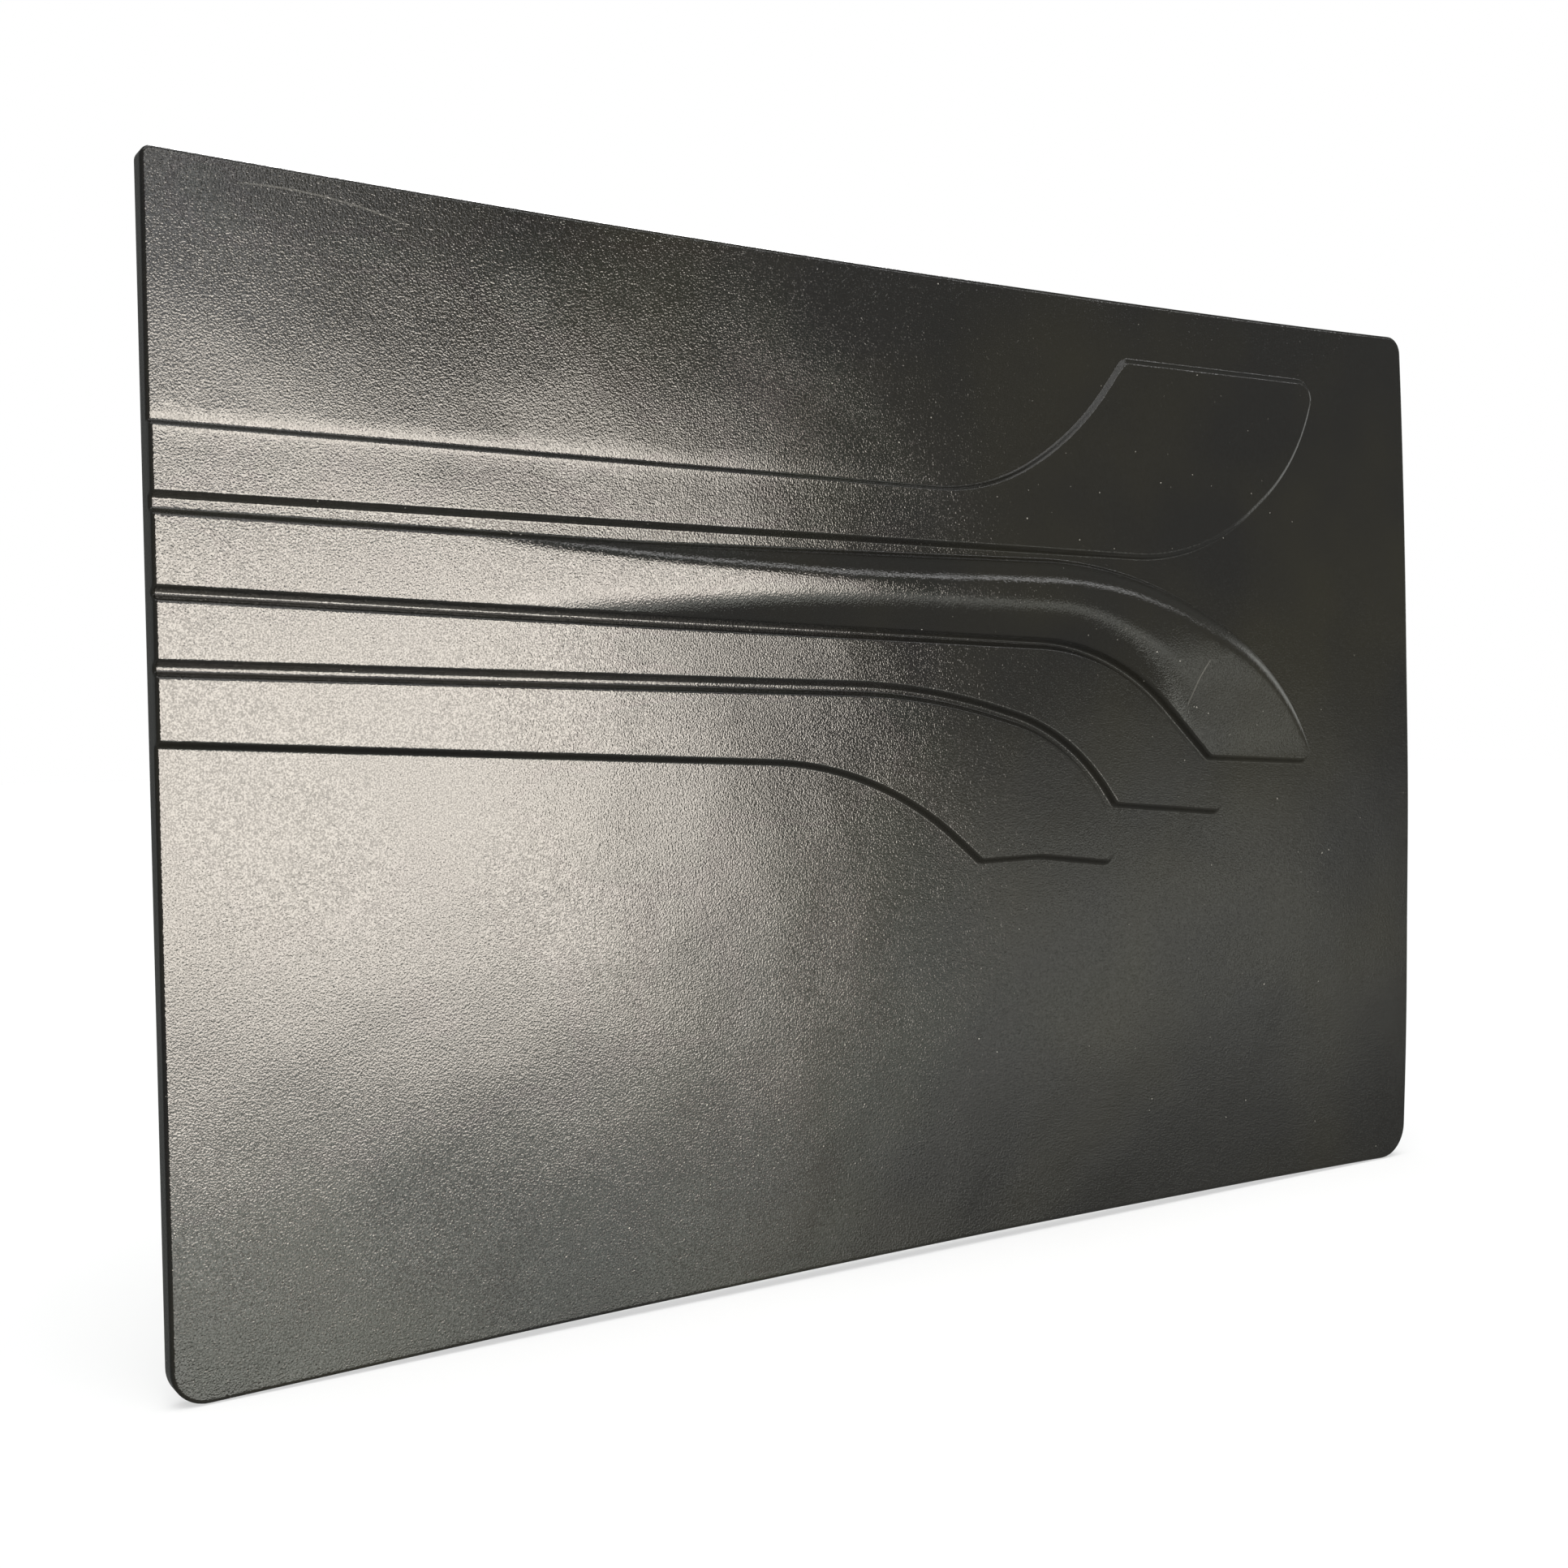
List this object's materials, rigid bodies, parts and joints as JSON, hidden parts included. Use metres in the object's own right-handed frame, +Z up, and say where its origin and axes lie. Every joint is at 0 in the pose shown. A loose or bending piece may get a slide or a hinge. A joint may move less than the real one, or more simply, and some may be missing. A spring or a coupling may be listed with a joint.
{
  "type": "truck bed liner panel",
  "caption": "Thermoformed textured plastic liner panel for a truck bed side, with raised swooping bands, a rolled edge and hidden push-in clips in floating seats behind.",
  "frame": {"origin": "middle of the plane in which the panel's turned-back edge rests on the truck's wall", "axes": "+X along the truck, to the right as the face is seen; +Z up; +Y into the truck's wall, so the face looks towards -Y"},
  "size_m": [0.897, 0.0396, 0.5995],
  "materials": {
    "liner_plastic": "black haircell-grained thermoformed sheet, semi-gloss",
    "seat_plastic": "dark grey moulded polypropylene, satin",
    "clip_nylon": "natural white nylon, satin",
    "washer_foam": "black closed-cell foam, matt",
    "pad_foam": "charcoal open-skin foam, matt"
  },
  "bodies": {
    "panel": {"liner_shell": "liner_plastic", "clip_seat_01": "seat_plastic", "clip_seat_02": "seat_plastic", "clip_seat_03": "seat_plastic", "clip_seat_04": "seat_plastic", "clip_seat_05": "seat_plastic", "clip_seat_06": "seat_plastic", "clip_seat_07": "seat_plastic", "clip_seat_08": "seat_plastic", "clip_seat_09": "seat_plastic", "clip_seat_10": "seat_plastic", "foam_pad_01": "pad_foam", "foam_pad_02": "pad_foam", "foam_pad_03": "pad_foam", "foam_pad_04": "pad_foam", "foam_pad_05": "pad_foam", "foam_pad_06": "pad_foam"},
    "clip_01": {"retainer_clip_01": "clip_nylon", "seal_washer_01": "washer_foam"},
    "clip_02": {"retainer_clip_02": "clip_nylon", "seal_washer_02": "washer_foam"},
    "clip_03": {"retainer_clip_03": "clip_nylon", "seal_washer_03": "washer_foam"},
    "clip_04": {"retainer_clip_04": "clip_nylon", "seal_washer_04": "washer_foam"},
    "clip_05": {"retainer_clip_05": "clip_nylon", "seal_washer_05": "washer_foam"},
    "clip_06": {"retainer_clip_06": "clip_nylon", "seal_washer_06": "washer_foam"},
    "clip_07": {"retainer_clip_07": "clip_nylon", "seal_washer_07": "washer_foam"},
    "clip_08": {"retainer_clip_08": "clip_nylon", "seal_washer_08": "washer_foam"},
    "clip_09": {"retainer_clip_09": "clip_nylon", "seal_washer_09": "washer_foam"},
    "clip_10": {"retainer_clip_10": "clip_nylon", "seal_washer_10": "washer_foam"}
  },
  "joints": [
    {"name": "clip_float_01", "type": "slide", "parent": "panel", "child": "clip_01", "axis": [1, 0, 0], "range_m": [-0.002, 0.002]},
    {"name": "clip_float_02", "type": "slide", "parent": "panel", "child": "clip_02", "axis": [1, 0, 0], "range_m": [-0.002, 0.002]},
    {"name": "clip_float_03", "type": "slide", "parent": "panel", "child": "clip_03", "axis": [1, 0, 0], "range_m": [-0.002, 0.002]},
    {"name": "clip_float_04", "type": "slide", "parent": "panel", "child": "clip_04", "axis": [1, 0, 0], "range_m": [-0.002, 0.002]},
    {"name": "clip_float_05", "type": "slide", "parent": "panel", "child": "clip_05", "axis": [1, 0, 0], "range_m": [-0.002, 0.002]},
    {"name": "clip_float_06", "type": "slide", "parent": "panel", "child": "clip_06", "axis": [1, 0, 0], "range_m": [-0.002, 0.002]},
    {"name": "clip_float_07", "type": "slide", "parent": "panel", "child": "clip_07", "axis": [1, 0, 0], "range_m": [-0.002, 0.002]},
    {"name": "clip_float_08", "type": "slide", "parent": "panel", "child": "clip_08", "axis": [1, 0, 0], "range_m": [-0.002, 0.002]},
    {"name": "clip_float_09", "type": "slide", "parent": "panel", "child": "clip_09", "axis": [1, 0, 0], "range_m": [-0.002, 0.002]},
    {"name": "clip_float_10", "type": "slide", "parent": "panel", "child": "clip_10", "axis": [1, 0, 0], "range_m": [-0.002, 0.002]}
  ]
}
